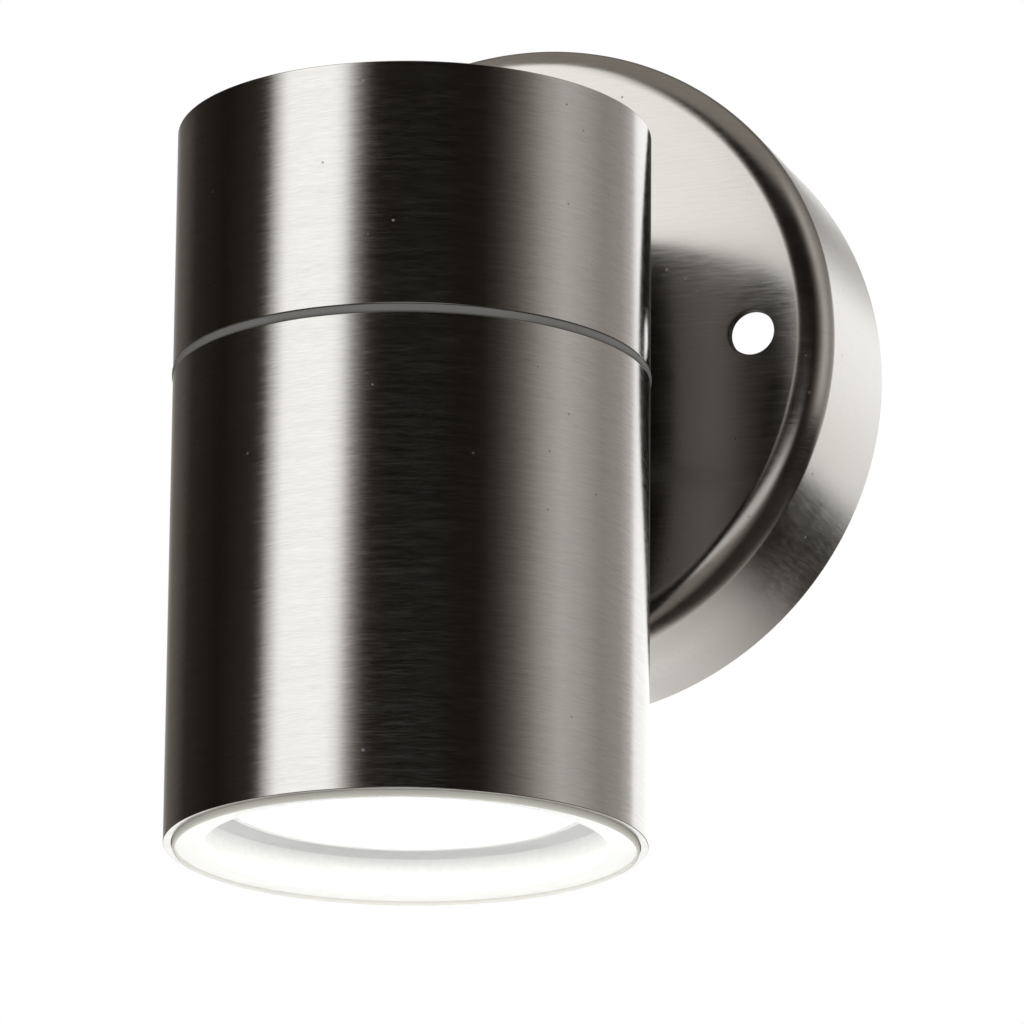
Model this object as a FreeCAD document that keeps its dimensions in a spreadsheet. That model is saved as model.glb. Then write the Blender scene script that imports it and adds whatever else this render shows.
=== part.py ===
import FreeCAD, Part
import os
import Sketcher

# Tube wall light: a round dished plate on the wall carries a vertical steel tube.
# The lower tube is a sleeve that unscrews for a change of lamp.
# Origin: centre of the plate's back, on the wall. The light stands out along -Y, +Z is up.

os.makedirs("parts", exist_ok=True)
doc = FreeCAD.newDocument("tube_wall_light")
sheet = doc.addObject("Spreadsheet::Sheet", "Sizes")

driving_sizes = {
    # tubes
    "tube_diameter": 60.0,
    "tube_wall": 1.0,
    "axis_distance": 62.5,
    "tube_rise": 17.56,
    "upper_height": 31.31,
    "sleeve_height": 59.84,
    "edge_break": 0.25,
    "cap_sheet": 1.2,
    "cap_depth": 6.0,
    # wall plate
    "plate_diameter": 86.0,
    "plate_depth": 25.5,
    "plate_sheet": 1.2,
    "shoulder_radius": 4.0,
    "screw_spacing": 66.0,
    "screw_hole": 6.0,
    "screw_dish": 8.2,
    "screw_dish_depth": 0.6,
    "wall_gasket_width": 3.0,
    "wall_gasket_height": 3.0,
    # clearances
    "fit_gap": 0.05,
    "thread_gap": 0.08,
    "hole_gap": 0.15,
    # joint between the tubes
    "seal_thickness": 1.07,
    "seal_proud": 0.12,
    "thread_diameter": 54.0,
    "thread_length": 8.0,
    "collar_height": 10.0,
    "carrier_depth": 9.75,
    "barrel_wall": 4.5,
    "notch_width": 20.0,
    "notch_clearance": 1.0,
    # glass and its seat
    "glass_gap": 0.1,
    "glass_thickness": 3.0,
    "glass_proud": 0.69,
    "glass_bevel": 0.3,
    "gasket_width": 3.9,
    "lens_gasket_thickness": 0.5,
    "seat_sheet": 1.0,
    "seat_height": 5.0,
    # stem between plate and tube
    "neck_diameter": 24.0,
    "stem_diameter": 9.9,
    "stem_bore": 7.0,
    "stem_overhang": 2.0,
    "nut_across": 14.0,
    "nut_height": 3.5,
    "saddle_diameter": 18.0,
    "saddle_depth": 2.2,
    # lampholder and its strap
    "strap_sheet": 1.2,
    "strap_width": 20.0,
    "strap_rise": 2.5,
    "strap_inset": 1.0,
    "strap_window": 14.0,
    "bend_radius": 0.5,
    "crown_width": 31.0,
    "holder_diameter": 27.0,
    "holder_height": 17.0,
    "ledge_thickness": 2.5,
    "chamber_roof": 7.9,
    "wire_hole": 3.0,
    # lamp with two pins
    "lamp_gap": 0.3,
    "lamp_length": 47.9,
    "lamp_diameter": 49.8,
    "lamp_face_diameter": 48.0,
    "lamp_face_thickness": 2.2,
    "cap_diameter": 21.0,
    "cap_flare": 27.6,
    "cap_straight": 5.2,
    "cap_length": 14.2,
    "cap_socket": 3.0,
    "housing_neck": 29.0,
    "housing_flare": 39.0,
    "housing_rim": 8.0,
    "fin_gap": 3.4,
    "fin_core": 24.0,
    "fin_slope": 1.5,
    "fin_count": 12,
    "pin_spacing": 10.0,
    "pin_head": 4.9,
    "pin_neck": 3.2,
    "pin_length": 7.0,
    "pin_head_height": 4.1,
    "pin_root": 3.5,
    "pin_play": 0.35,
    "slot_play": 0.2,
    "twist_angle": 30.0,
    # connector in the plate
    "block_drop": 24.0,
    "block_length": 18.0,
    "block_height": 14.0,
    "block_base": 3.0,
    "pole_pitch": 9.0,
    "pole_width": 7.6,
    "ear_spacing": 35.0,
    "ear_reach": 4.0,
    "ear_round": 4.5,
    "tube_centre": 7.5,
    "pole_bore": 4.6,
    "clamp_spacing": 10.0,
    "clamp_well": 3.8,
    "clamp_well_depth": 3.6,
    "ear_hole": 4.2,
}

for row, (alias, value) in enumerate(driving_sizes.items(), start=1):
    sheet.set(f"A{row}", alias.replace("_", " "))
    sheet.set(f"B{row}", str(value))
    sheet.setAlias(f"B{row}", alias)
doc.recompute()

# Places that several pieces share, as expressions over the sheet
tube_radius = "(Sizes.tube_diameter / 2)"
tube_inside = "(Sizes.tube_diameter / 2 - Sizes.tube_wall)"
tube_fit = f"({tube_inside} - Sizes.fit_gap)"
joint_top = "(Sizes.tube_rise - Sizes.upper_height)"
joint_bottom = f"({joint_top} - Sizes.seal_thickness)"
tube_bottom = f"({joint_bottom} - Sizes.sleeve_height)"
glass_radius = f"({tube_inside} - Sizes.glass_gap)"
window_radius = f"({glass_radius} - Sizes.gasket_width)"
glass_bottom = f"({tube_bottom} - Sizes.glass_proud)"
glass_top = f"({glass_bottom} + Sizes.glass_thickness)"
gasket_top = f"({glass_top} + Sizes.lens_gasket_thickness)"
barrel_radius = "(Sizes.thread_diameter / 2)"
barrel_bottom = f"({joint_bottom} - Sizes.thread_length)"
thread_inside = f"({barrel_radius} + Sizes.thread_gap)"
carrier_top = f"({joint_top} + Sizes.carrier_depth)"
holder_top = f"({carrier_top} + Sizes.strap_rise)"
holder_face = f"({holder_top} - Sizes.holder_height)"
lamp_top = f"({holder_face} - Sizes.lamp_gap)"
lamp_face = f"({lamp_top} - Sizes.lamp_length)"
plate_inside = "(Sizes.plate_sheet - Sizes.plate_depth)"
tube_back = f"({tube_inside} - Sizes.axis_distance)"
saddle_flat = f"({tube_back} - Sizes.saddle_depth)"
clamp_stack = "(Sizes.nut_height + Sizes.stem_overhang)"
stem_wall_end = f"({plate_inside} + {clamp_stack})"
stem_tube_end = f"({saddle_flat} - {clamp_stack})"
stem_hole = "(Sizes.stem_diameter + 2 * Sizes.hole_gap)"
on_axis = {"y": "-Sizes.axis_distance"}

# Turns for pieces drawn along Z
along_y = FreeCAD.Rotation(FreeCAD.Vector(1, 0, 0), -90)
half_turn = FreeCAD.Rotation(FreeCAD.Vector(0, 0, 1), 180)
upright = FreeCAD.Rotation()

finished = []


def number(text):
    return float(sheet.evalExpression(text))


def keep(piece, label):
    piece.Label = label
    finished.append(piece)
    return piece


def put(piece, x="0", y="0", z="0", rotation=upright):
    piece.Placement = FreeCAD.Placement(FreeCAD.Vector(), rotation)
    for axis, text in (("x", x), ("y", y), ("z", z)):
        if text != "0":
            piece.setExpression(f"Placement.Base.{axis}", text)
    return piece


def primitive(kind, **bound):
    piece = doc.addObject(f"Part::{kind}", kind)
    for name, text in bound.items():
        piece.setExpression(name, text)
    return piece


def cylinder(diameter, height, rotation=upright, **place):
    return put(primitive("Cylinder", Radius=f"{diameter} / 2", Height=height), rotation=rotation, **place)


def cut(base, *tools):
    result = doc.addObject("Part::Cut", "Cut")
    result.Base = base
    result.Tool = tools[0] if len(tools) == 1 else fuse(*tools)
    return result


def fuse(*pieces):
    result = doc.addObject("Part::MultiFuse", "Fuse")
    result.Shapes = list(pieces)
    return result


def common(base, tool):
    result = doc.addObject("Part::Common", "Common")
    result.Base = base
    result.Tool = tool
    return result


def group(label, pieces):
    result = doc.addObject("Part::Compound", "Group")
    result.Links = list(pieces)
    return keep(result, label)


def new_body(name, rotation=upright, **place):
    return put(doc.addObject("PartDesign::Body", name), rotation=rotation, **place)


def new_sketch(body, role, level="0"):
    sketch = body.newObject("Sketcher::SketchObject", "Sketch")
    plane = next(feature for feature in body.Origin.OriginFeatures if feature.Role == role)
    sketch.AttachmentSupport = [(plane, "")]
    sketch.MapMode = "FlatFace"
    if level != "0":
        sketch.setExpression("AttachmentOffset.Base.z", level)
    return sketch


def pin_point(sketch, geometry, position, across, along):
    # Ties one point of the sketch to its two expressions
    for kind, text, axis in (("DistanceX", across, -2), ("DistanceY", along, -1)):
        if text == "0":
            sketch.addConstraint(Sketcher.Constraint("PointOnObject", geometry, position, axis))
            continue
        index = sketch.addConstraint(Sketcher.Constraint(kind, -1, 1, geometry, position, number(text)))
        sketch.setExpression(f"Constraints[{index}]", text)


def outline(body, role, corners, level="0"):
    sketch = new_sketch(body, role, level)
    points = [FreeCAD.Vector(number(across), number(along), 0) for across, along in corners]
    for start, end in zip(points, points[1:] + points[:1]):
        sketch.addGeometry(Part.LineSegment(start, end), False)
    for line in range(len(corners)):
        following = (line + 1) % len(corners)
        sketch.addConstraint(Sketcher.Constraint("Coincident", line, 2, following, 1))
    for line, (across, along) in enumerate(corners):
        pin_point(sketch, line, 1, across, along)
    return sketch


def circles(body, role, rounds, level="0"):
    sketch = new_sketch(body, role, level)
    for across, along, diameter in rounds:
        centre = FreeCAD.Vector(number(across), number(along), 0)
        index = sketch.addGeometry(Part.Circle(centre, FreeCAD.Vector(0, 0, 1), number(diameter) / 2), False)
        pin_point(sketch, index, 3, across, along)
        bound = sketch.addConstraint(Sketcher.Constraint("Diameter", index, number(diameter)))
        sketch.setExpression(f"Constraints[{bound}]", diameter)
    return sketch


def turned(body, role, corners):
    feature = body.newObject("PartDesign::Revolution", "Turned")
    sketch = outline(body, role, corners)
    feature.Profile = sketch
    feature.ReferenceAxis = (sketch, ["V_Axis"])
    feature.Angle = 360.0
    doc.recompute()
    return feature


def padded(body, sketch, length):
    feature = body.newObject("PartDesign::Pad", "Pad")
    feature.Profile = sketch
    feature.setExpression("Length", length)
    feature.SideType = "Symmetric"
    doc.recompute()
    return feature


def pocket(body, sketch, depth=None, reverse=False, both_sides=False):
    # Without a depth the cut goes through all; it has to take material away
    before = body.Shape.Volume
    feature = body.newObject("PartDesign::Pocket", "Pocket")
    feature.Profile = sketch
    if depth is None:
        feature.Type = "ThroughAll"
    else:
        feature.setExpression("Length", depth)
    if both_sides:
        feature.SideType = "Symmetric"
    feature.Reversed = reverse
    doc.recompute()
    if body.Shape.Volume > before - 0.01:
        raise RuntimeError(f"{body.Name}: a pocket cuts nothing")
    return feature


def rounded(body, radius, wanted):
    # Rounds the edges of the body's tip that the test picks
    base = body.Tip
    names = [f"Edge{count}" for count, edge in enumerate(base.Shape.Edges, start=1) if wanted(edge)]
    if not names:
        raise RuntimeError(f"{body.Name}: no edge to round")
    feature = body.newObject("PartDesign::Fillet", "Fillet")
    feature.Base = (base, names)
    feature.setExpression("Radius", radius)
    doc.recompute()
    return feature


def ring_at(radius, level, axis="z"):
    # Test for a round edge of this radius at this height along the axis
    def wanted(edge):
        if not isinstance(edge.Curve, Part.Circle):
            return False
        height = getattr(edge.Curve.Center, axis)
        return abs(edge.Curve.Radius - number(radius)) < 0.01 and abs(height - number(level)) < 0.01
    return wanted


def ring_corners(outer, inner, low, high):
    return [(inner, low), (outer, low), (outer, high), (inner, high)]


def tube_ring(label, outer, inner, low, high):
    # A plain ring on the tube's axis
    body = keep(new_body(label, **on_axis), label)
    turned(body, "XZ_Plane", ring_corners(outer, inner, low, high))
    return body


# Wall plate: a cup drawn from sheet, with a round shoulder and two screw holes
def wall_plate():
    body = keep(new_body("wall_plate"), "wall_plate")
    outer = "Sizes.plate_diameter / 2"
    inner = "(Sizes.plate_diameter / 2 - Sizes.plate_sheet)"
    face = "-Sizes.plate_depth"
    hole = f"{stem_hole} / 2"
    bend = "(Sizes.shoulder_radius - Sizes.plate_sheet) * 0.6"
    turned(body, "XY_Plane", [(hole, face), (outer, face), (outer, "0"), (inner, "0"),
                              (inner, f"({plate_inside} + {bend})"), (f"({inner} - {bend})", plate_inside),
                              (hole, plate_inside)])
    rounded(body, "Sizes.shoulder_radius", ring_at(outer, face, "y"))
    spots = [(f"{side} * Sizes.screw_spacing / 2", "0", "Sizes.screw_hole") for side in (-1, 1)]
    holes = pocket(body, circles(body, "XZ_Plane", spots), reverse=True)
    # The edges of the screw holes are dished in
    dishes = body.newObject("PartDesign::Chamfer", "Dishes")
    names = [f"Edge{count}" for count, edge in enumerate(holes.Shape.Edges, start=1)
             if ring_at("Sizes.screw_hole / 2", face, "y")(edge)]
    dishes.Base = (holes, names)
    dishes.ChamferType = "Two distances"
    dishes.setExpression("Size", "(Sizes.screw_dish - Sizes.screw_hole) / 2")
    dishes.setExpression("Size2", "Sizes.screw_dish_depth")
    doc.recompute()


def wall_gasket():
    body = keep(new_body("wall_gasket"), "wall_gasket")
    outer = "(Sizes.plate_diameter / 2 - Sizes.plate_sheet - Sizes.fit_gap)"
    turned(body, "XY_Plane", ring_corners(outer, f"({outer} - Sizes.wall_gasket_width)",
                                          "-Sizes.wall_gasket_height", "0"))


# Upper tube, open at both ends, with the stem's hole in its back
def upper_housing():
    body = keep(new_body("upper_housing", **on_axis), "upper_housing")
    turned(body, "XZ_Plane", [(tube_inside, joint_top), (tube_radius, joint_top),
                              (tube_radius, "(Sizes.tube_rise - Sizes.edge_break)"),
                              (f"({tube_radius} - Sizes.edge_break)", "Sizes.tube_rise"),
                              (tube_inside, "Sizes.tube_rise")])
    pocket(body, circles(body, "XZ_Plane", [("0", "0", stem_hole)]), tube_radius)


# Pressed lid, flush in the tube's upper end
def top_cap():
    body = keep(new_body("top_cap", **on_axis), "top_cap")
    top = "Sizes.tube_rise"
    under = "(Sizes.tube_rise - Sizes.cap_sheet)"
    skirt = "(Sizes.tube_rise - Sizes.cap_depth)"
    inner = f"({tube_fit} - Sizes.cap_sheet)"
    turned(body, "XZ_Plane", [("0", under), (inner, under), (inner, skirt), (tube_fit, skirt),
                              (tube_fit, f"({top} - Sizes.edge_break)"),
                              (f"({tube_fit} - Sizes.edge_break)", top), ("0", top)])


# Threaded ring in the upper tube: its barrel takes the sleeve, its top carries the strap
def carrier_ring():
    body = keep(new_body("carrier_ring", **on_axis), "carrier_ring")
    bore = f"({barrel_radius} - Sizes.barrel_wall)"
    turned(body, "XZ_Plane", [(bore, barrel_bottom), (barrel_radius, barrel_bottom),
                              (barrel_radius, joint_top), (tube_fit, joint_top),
                              (tube_fit, carrier_top), (bore, carrier_top)])
    # Relief in the back for the stem's nut
    half = "Sizes.notch_width / 2"
    floor = "-(Sizes.saddle_diameter / 2 + Sizes.notch_clearance / 4)"
    relief = outline(body, "XZ_Plane", [(f"-{half}", floor), (half, floor),
                                        (half, "Sizes.notch_width"), (f"-{half}", "Sizes.notch_width")])
    pocket(body, relief, tube_radius)


# Soft ring in the groove between the tubes, squeezed a little proud
def joint_seal():
    tube_ring("joint_seal", f"({tube_radius} + Sizes.seal_proud)", thread_inside, joint_bottom, joint_top)


def sleeve_tube():
    body = keep(new_body("sleeve_tube", **on_axis), "sleeve_tube")
    turned(body, "XZ_Plane", [(tube_inside, tube_bottom),
                              (f"({tube_radius} - Sizes.edge_break)", tube_bottom),
                              (tube_radius, f"({tube_bottom} + Sizes.edge_break)"),
                              (tube_radius, joint_bottom), (tube_inside, joint_bottom)])


def sleeve_collar():
    foot = f"({joint_bottom} - Sizes.collar_height)"
    tube_ring("sleeve_collar", tube_fit, thread_inside, foot, joint_bottom)


# Glass disc with its edges bevelled
def lens():
    body = keep(new_body("lens", **on_axis), "lens")
    inset = f"({glass_radius} - Sizes.glass_bevel)"
    turned(body, "XZ_Plane", [("0", glass_bottom), (inset, glass_bottom),
                              (glass_radius, f"({glass_bottom} + Sizes.glass_bevel)"),
                              (glass_radius, f"({glass_top} - Sizes.glass_bevel)"),
                              (inset, glass_top), ("0", glass_top)])


def lens_gasket():
    tube_ring("lens_gasket", glass_radius, window_radius, glass_top, gasket_top)


# L-section ring in the sleeve that the glass is bedded against
def lens_seat():
    body = keep(new_body("lens_seat", **on_axis), "lens_seat")
    window = f"({window_radius} + Sizes.seat_sheet / 4)"
    flange = f"({gasket_top} + Sizes.seat_sheet)"
    wall = f"({tube_fit} - Sizes.seat_sheet)"
    rim = f"({gasket_top} + Sizes.seat_height)"
    turned(body, "XZ_Plane", [(window, gasket_top), (tube_fit, gasket_top), (tube_fit, rim),
                              (wall, rim), (wall, flange), (window, flange)])


# Spacer between plate and tube, hollowed to the tube's round
def neck_spacer():
    length = f"(Sizes.axis_distance - Sizes.plate_depth - {tube_radius} + Sizes.neck_diameter / 4)"
    blank = cylinder("Sizes.neck_diameter", length, along_y, y=f"-(Sizes.plate_depth + {length})")
    tube = cylinder(f"({tube_radius} + Sizes.fit_gap) * 2", "Sizes.neck_diameter * 2",
                    y="-Sizes.axis_distance", z="-Sizes.neck_diameter")
    bore = cylinder(stem_hole, length + " + 2", along_y, y=f"-(Sizes.plate_depth + {length} + 1)")
    keep(cut(blank, tube, bore), "neck_spacer")


# Hollow threaded stem through plate, spacer and tube
def stem():
    body = keep(new_body("stem"), "stem")
    turned(body, "XY_Plane", ring_corners("Sizes.stem_diameter / 2", "Sizes.stem_bore / 2",
                                          stem_tube_end, stem_wall_end))


def hex_nut(across, height, bore, rotation=upright, **place):
    blank = primitive("Prism", Circumradius=f"{across} / sqrt(3)", Height=height)
    blank.Polygon = 6
    hole = cylinder(bore, f"{height} + 2", z="-1")
    return put(cut(blank, hole), rotation=rotation, **place)


# One nut clamps the plate, the other clamps the tube
def stem_nuts():
    thread = "(Sizes.stem_diameter + 2 * Sizes.fit_gap)"
    places = (plate_inside, f"{saddle_flat} - Sizes.nut_height")
    nuts = [hex_nut("Sizes.nut_across", "Sizes.nut_height", thread, along_y, y=place) for place in places]
    group("stem_nuts", nuts)


# Washer inside the tube: round against the tube, flat under the nut
def saddle_washer():
    disc = cylinder("Sizes.saddle_diameter", "Sizes.saddle_depth * 2", along_y, y=saddle_flat)
    hole = cylinder(stem_hole, "Sizes.saddle_depth * 2 + 2", along_y, y=f"{saddle_flat} - 1")
    tube = cylinder(f"{tube_fit} * 2", "Sizes.saddle_diameter * 2", z="-Sizes.saddle_diameter", **on_axis)
    keep(common(cut(disc, hole), tube), "saddle_washer")


# Hat-shaped strap across the carrier ring; its ends follow the tube
def lampholder_bracket():
    body = new_body("strap", **on_axis)
    reach = tube_radius
    low = carrier_top
    low_top = f"({carrier_top} + Sizes.strap_sheet)"
    high = holder_top
    high_top = f"({holder_top} + Sizes.strap_sheet)"
    inner = "(Sizes.crown_width / 2)"
    outer = "(Sizes.crown_width / 2 + Sizes.strap_sheet)"
    right = [(inner, high), (inner, low), (reach, low), (reach, low_top), (outer, low_top), (outer, high_top)]
    left = [(f"-{across}", along) for across, along in reversed(right)]
    padded(body, outline(body, "XZ_Plane", right + left), "Sizes.strap_width")
    pocket(body, circles(body, "XY_Plane", [("0", "0", "Sizes.strap_window")]), both_sides=True)

    def bend(corner_x, corner_z):
        def wanted(edge):
            centre = edge.CenterOfMass
            along = edge.BoundBox.YLength > number("Sizes.strap_width") - 0.01
            at_side = abs(abs(centre.x) - number(corner_x)) < 0.01
            return along and at_side and abs(centre.z - number(corner_z)) < 0.01
        return wanted

    for corner_x, corner_z, radius in (
        (inner, high, "Sizes.bend_radius"),
        (outer, low_top, "Sizes.bend_radius"),
        (inner, low, "Sizes.bend_radius + Sizes.strap_sheet"),
        (outer, high_top, "Sizes.bend_radius + Sizes.strap_sheet"),
    ):
        rounded(body, radius, bend(corner_x, corner_z))
    limit = cylinder(f"({tube_fit} - Sizes.strap_inset) * 2", "Sizes.tube_rise * 4",
                     z="-Sizes.tube_rise * 2", **on_axis)
    keep(common(body, limit), "lampholder_bracket")


# Part of a flat ring, swept clockwise from the plane of the pins, seen from above
def swept_band(outer, inner, low, high):
    height = f"({high} - ({low}))"
    disc = primitive("Cylinder", Radius=outer, Height=height, Angle="Sizes.twist_angle")
    hole = primitive("Cylinder", Radius=inner, Height=f"{height} + 2")
    put(hole, z="-1")
    band = put(cut(disc, hole), z=low)
    band.setExpression("Placement.Rotation.Angle", "90 deg - Sizes.twist_angle * 1 deg")
    return band


# Where the pins stand: back and front, or turned to the entry holes
def pin_place(side, angle="90"):
    across = f"{side} * Sizes.pin_spacing / 2 * cos({angle} * 1 deg)"
    along = f"{side} * Sizes.pin_spacing / 2 * sin({angle} * 1 deg)"
    return across, along


# Ceramic lampholder: keyhole slots on an arc, with a ledge that the pin heads turn onto
def lampholder():
    body = new_body("ceramic")
    edge = "Sizes.holder_diameter / 2"
    turned(body, "XZ_Plane", [("0", holder_face), (edge, holder_face), (edge, holder_top), ("0", holder_top)])
    below = f"({holder_face} - 1)"
    ledge = f"({holder_face} + Sizes.ledge_thickness)"
    roof = f"({holder_face} + Sizes.chamber_roof)"
    above = f"({holder_top} + 1)"
    head = "(Sizes.pin_head + 2 * Sizes.pin_play)"
    neck = "(Sizes.pin_neck + 2 * Sizes.slot_play)"
    tools = []
    for side in (-1, 1):
        entry_x, entry_y = pin_place(side, "(90 - Sizes.twist_angle)")
        lock_x, lock_y = pin_place(side)
        tools.append(cylinder(head, f"{roof} - {below}", x=entry_x, y=entry_y, z=below))
        tools.append(cylinder(neck, f"{roof} - {below}", y=lock_y, z=below))
        tools.append(cylinder(head, f"{roof} - {ledge}", y=lock_y, z=ledge))
        tools.append(cylinder("Sizes.wire_hole", f"{above} - {roof}", y=lock_y, z=roof))
        for width, low, high in ((neck, below, ledge), (head, ledge, roof)):
            outer = f"(Sizes.pin_spacing + {width}) / 2"
            inner = f"(Sizes.pin_spacing - {width}) / 2"
            band = swept_band(outer, inner, low, high)
            # The band keeps its own turn, so the group round it makes the half turn
            turn = doc.addObject("Part::Compound", "Band")
            turn.Links = [band]
            tools.append(put(turn, rotation=upright if side == 1 else half_turn))
    keep(put(cut(body, *tools), **on_axis), "lampholder")


# Lamp cap with two sockets for the pins, on the flared housing
def lamp_base():
    body = keep(new_body("lamp_base", **on_axis), "lamp_base")
    flare = "Sizes.cap_flare / 2"
    foot = f"({lamp_top} - Sizes.cap_length)"
    turned(body, "XZ_Plane", [("0", foot), (flare, foot), (flare, f"({foot} + Sizes.cap_socket)"),
                              ("Sizes.cap_diameter / 2", f"({lamp_top} - Sizes.cap_straight)"),
                              ("Sizes.cap_diameter / 2", lamp_top), ("0", lamp_top)])
    socket = "Sizes.pin_neck + 2 * Sizes.fit_gap"
    spots = [("0", f"{side} * Sizes.pin_spacing / 2", socket) for side in (-1, 1)]
    pocket(body, circles(body, "XY_Plane", spots, lamp_top), "Sizes.pin_root + Sizes.fit_gap")


def lamp_pins():
    pins = []
    for side in (-1, 1):
        body = new_body("pin", y=f"-Sizes.axis_distance + {side} * Sizes.pin_spacing / 2", z=lamp_top)
        neck = "Sizes.pin_neck / 2"
        head = "Sizes.pin_head / 2"
        under = "(Sizes.pin_length - Sizes.pin_head_height)"
        turned(body, "XZ_Plane", [("0", "-Sizes.pin_root"), (neck, "-Sizes.pin_root"), (neck, under),
                                  (head, under), (head, "Sizes.pin_length"), ("0", "Sizes.pin_length")])
        pins.append(body)
    group("lamp_pins", pins)


# Cast lamp body: a socket for the cap, a flare with cooling fins, a rim round the front
def lamp_housing():
    body = keep(new_body("lamp_housing", **on_axis), "lamp_housing")
    socket = f"({lamp_top} - Sizes.cap_length - Sizes.fit_gap)"
    mouth = f"({lamp_top} - Sizes.cap_length + Sizes.cap_socket)"
    rim = f"({lamp_face} + Sizes.housing_rim)"
    waist = f"({lamp_top} - Sizes.cap_length - Sizes.housing_rim)"
    back = f"({lamp_face} + Sizes.lamp_face_thickness + Sizes.fit_gap)"
    neck = "Sizes.housing_neck / 2"
    flare = "Sizes.housing_flare / 2"
    edge = "Sizes.lamp_diameter / 2"
    recess = "(Sizes.lamp_face_diameter / 2 + Sizes.fit_gap)"
    grip = "(Sizes.cap_flare / 2 + Sizes.fit_gap)"
    turned(body, "XZ_Plane", [("0", back), (recess, back), (recess, lamp_face), (edge, lamp_face),
                              (edge, rim), (flare, waist), (neck, mouth), (grip, mouth), (grip, socket),
                              ("0", socket)])
    # One gap between fins, repeated round the axis
    core = "Sizes.fin_core / 2"
    fin_top = f"({mouth} - Sizes.cap_socket)"
    fin_foot = f"({rim} + Sizes.cap_socket)"
    gap = outline(body, "XZ_Plane", [(core, fin_top), (f"({core} + Sizes.fin_slope)", waist),
                                     (f"({flare} + Sizes.fin_slope)", fin_foot), (f"({edge} + 1)", fin_foot),
                                     (f"({edge} + 1)", fin_top)])
    first = pocket(body, gap, "Sizes.fin_gap", both_sides=True)
    pattern = body.newObject("PartDesign::PolarPattern", "Fins")
    pattern.Originals = [first]
    pattern.Axis = (next(item for item in body.Origin.OriginFeatures if item.Role == "Z_Axis"), [""])
    pattern.Angle = 360.0
    pattern.setExpression("Occurrences", "Sizes.fin_count")
    body.Tip = pattern


def lamp_front():
    body = keep(new_body("lamp_front", **on_axis), "lamp_front")
    top = f"({lamp_face} + Sizes.lamp_face_thickness)"
    edge = "Sizes.lamp_face_diameter / 2"
    turned(body, "XZ_Plane", [("0", lamp_face), (edge, lamp_face), (edge, top), ("0", top)])


poles = [f"({side} * Sizes.pole_pitch)" for side in (-1, 0, 1)]
block_place = {"y": plate_inside, "z": "-Sizes.block_drop"}


# Three-pole connector: a base with ears and a tower for each pole
def terminal_block():
    body = keep(new_body("terminal_block", **block_place), "terminal_block")
    ear = "(Sizes.ear_spacing / 2 + Sizes.ear_reach)"
    half = "Sizes.pole_width / 2"
    crest = [(f"-{ear}", "0"), (ear, "0"), (ear, "Sizes.block_base")]
    for pole in reversed(poles):
        crest += [(f"({pole} + {half})", "Sizes.block_base"), (f"({pole} + {half})", "Sizes.block_height"),
                  (f"({pole} - {half})", "Sizes.block_height"), (f"({pole} - {half})", "Sizes.block_base")]
    crest.append((f"-{ear}", "Sizes.block_base"))
    padded(body, outline(body, "XY_Plane", crest), "Sizes.block_length")
    bores = [(pole, "Sizes.tube_centre", "Sizes.pole_bore") for pole in poles]
    pocket(body, circles(body, "XY_Plane", bores), both_sides=True)
    ends = [f"{end} * Sizes.clamp_spacing / 2" for end in (-1, 1)]
    wells = [(pole, end, "Sizes.clamp_well") for pole in poles for end in ends]
    well_tops = circles(body, "XZ_Plane", wells, "-Sizes.block_height")
    pocket(body, well_tops, "Sizes.clamp_well_depth", reverse=True)
    ears = [(f"{side} * Sizes.ear_spacing / 2", "0", "Sizes.ear_hole") for side in (-1, 1)]
    pocket(body, circles(body, "XZ_Plane", ears), "Sizes.block_height")

    def ear_corner(edge):
        at_side = abs(abs(edge.CenterOfMass.x) - number(ear)) < 0.01
        return at_side and edge.BoundBox.YLength > number("Sizes.block_base") - 0.01

    rounded(body, "Sizes.ear_round", ear_corner)


for make in (wall_plate, wall_gasket, upper_housing, top_cap, carrier_ring, joint_seal, sleeve_tube,
             sleeve_collar, lens, lens_gasket, lens_seat, neck_spacer, stem, stem_nuts, saddle_washer,
             lampholder_bracket, lampholder, lamp_base, lamp_pins, lamp_housing, lamp_front, terminal_block):
    make()

doc.recompute()
for item in doc.Objects:
    if "Invalid" in item.State or "Error" in item.State:
        raise RuntimeError(f"{item.Label} ({item.Name}) is {item.State}")
for piece in finished:
    if piece.Shape.isNull() or not piece.Shape.isValid() or not piece.Shape.Solids:
        raise RuntimeError(f"{piece.Label} has no sound shape")
for piece in finished:
    piece.Shape.exportStep(f"parts/{piece.Label}.step")
    print(f"{piece.Label}: {len(piece.Shape.Solids)} solid(s), {piece.Shape.Volume:.1f} mm3")
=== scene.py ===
import bpy
import bmesh
import math
from mathutils import Matrix, Vector


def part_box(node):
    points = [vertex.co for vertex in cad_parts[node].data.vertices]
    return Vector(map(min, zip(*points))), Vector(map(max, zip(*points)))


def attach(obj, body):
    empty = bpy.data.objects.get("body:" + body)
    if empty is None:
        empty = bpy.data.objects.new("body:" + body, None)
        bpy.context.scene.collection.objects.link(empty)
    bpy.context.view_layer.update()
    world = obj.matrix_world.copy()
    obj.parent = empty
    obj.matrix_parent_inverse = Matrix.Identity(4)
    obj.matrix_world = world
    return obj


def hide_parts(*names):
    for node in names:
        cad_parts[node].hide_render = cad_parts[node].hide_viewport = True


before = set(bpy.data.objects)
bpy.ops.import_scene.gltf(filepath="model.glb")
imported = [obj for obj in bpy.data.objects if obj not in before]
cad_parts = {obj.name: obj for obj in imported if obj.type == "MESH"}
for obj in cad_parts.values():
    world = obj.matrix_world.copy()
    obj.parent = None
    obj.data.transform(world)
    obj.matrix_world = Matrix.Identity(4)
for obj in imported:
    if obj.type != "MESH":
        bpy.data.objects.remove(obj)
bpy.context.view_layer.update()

mm = 0.001
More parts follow.
